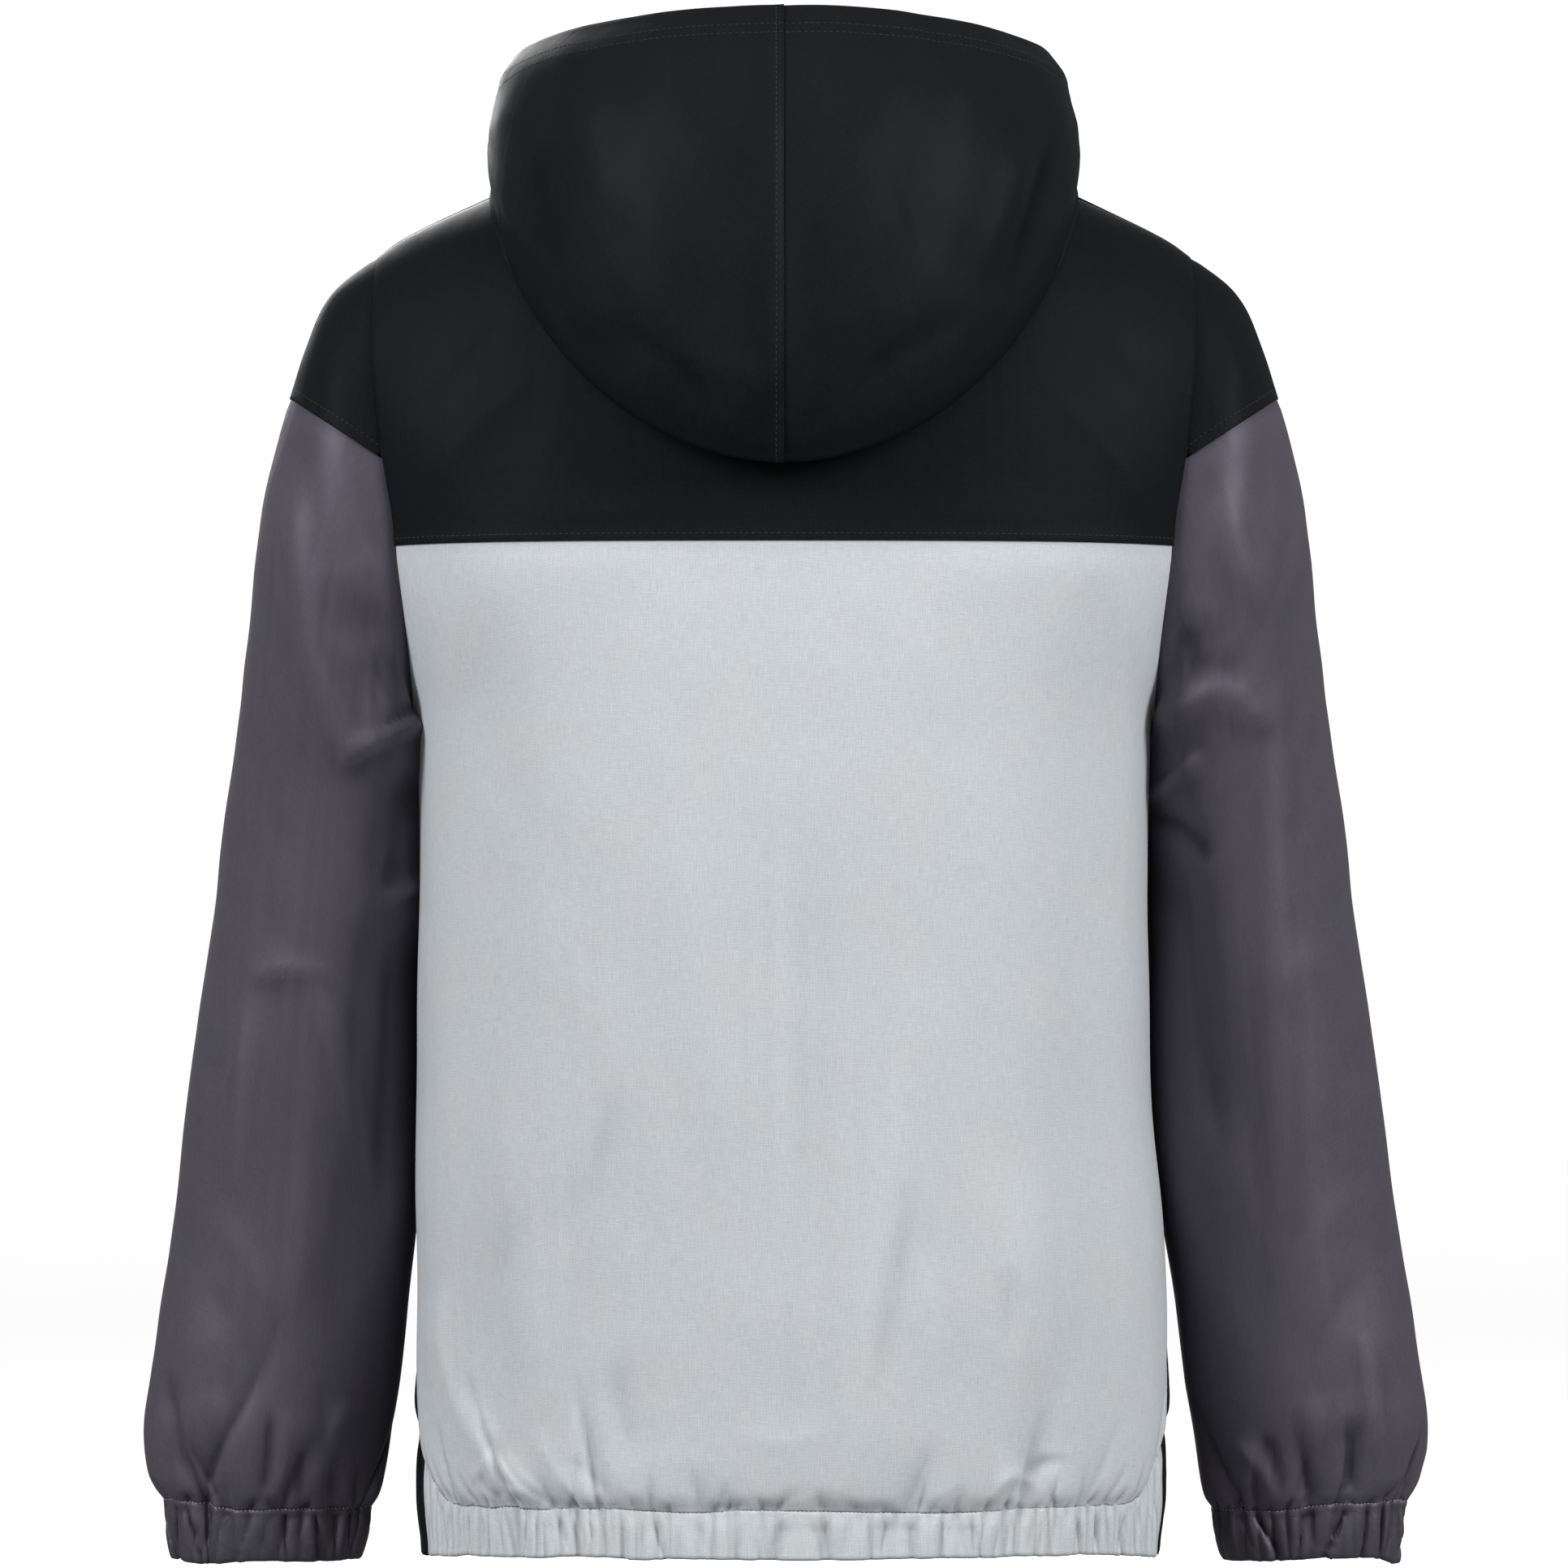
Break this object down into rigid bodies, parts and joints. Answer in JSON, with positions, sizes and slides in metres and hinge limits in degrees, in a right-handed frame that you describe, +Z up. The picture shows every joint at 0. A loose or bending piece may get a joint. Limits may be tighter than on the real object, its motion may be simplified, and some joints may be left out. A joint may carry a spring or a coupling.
{
  "type": "hooded rain jacket",
  "caption": "Worn hooded rain jacket with a pale back panel, black yoke and hood, dark raglan-capped sleeves, gathered cuffs and hem and a full front zip.",
  "frame": {"origin": "centre of the neck at the height of the high shoulder points, where the wearer's neck and shoulders hold the jacket up", "axes": "+Z up, -Y the way the wearer faces, +X the wearer's left"},
  "size_m": [0.6735, 0.3311, 0.8016],
  "materials": {
    "pale_panel_cloth": "pale grey coated mini-ripstop nylon, faint satin sheen",
    "pale_hem_cloth": "pale grey coated mini-ripstop nylon, gathered on elastic",
    "black_shell_cloth": "near-black coated plain-weave nylon, soft sheen",
    "hood_cloth": "near-black coated plain-weave nylon, soft sheen",
    "sleeve_cloth": "dark purple-grey mini-ripstop nylon, satin sheen",
    "cuff_cloth": "dark purple-grey mini-ripstop nylon, gathered on elastic",
    "zip_tape": "black woven polyester tape",
    "zip_teeth": "black moulded acetal",
    "zip_metal": "black lacquered zinc, semi-gloss"
  },
  "bodies": {
    "jacket": {"back_panel": "pale_panel_cloth", "hem_back": "pale_hem_cloth", "back_yoke": "black_shell_cloth", "front_left": "black_shell_cloth", "front_right": "black_shell_cloth", "hem_front_left": "black_shell_cloth", "hem_front_right": "black_shell_cloth", "sleeve_cap_left": "black_shell_cloth", "sleeve_cap_right": "black_shell_cloth", "hood_left": "hood_cloth", "hood_right": "hood_cloth", "sleeve_left": "sleeve_cloth", "sleeve_right": "sleeve_cloth", "cuff_left": "cuff_cloth", "cuff_right": "cuff_cloth", "zip_tape_left": "zip_tape", "zip_tape_right": "zip_tape", "zip_chain": "zip_teeth", "zip_box": "zip_teeth", "zip_slider": "zip_metal"},
    "pull_tab": {"zip_pull": "zip_metal"}
  },
  "joints": [
    {"name": "pull_swing", "type": "hinge", "parent": "jacket", "child": "pull_tab", "pos_m": [0, -0.1062, -0.02509], "axis": [-1, 0, 0], "range_deg": [0, 170]}
  ]
}
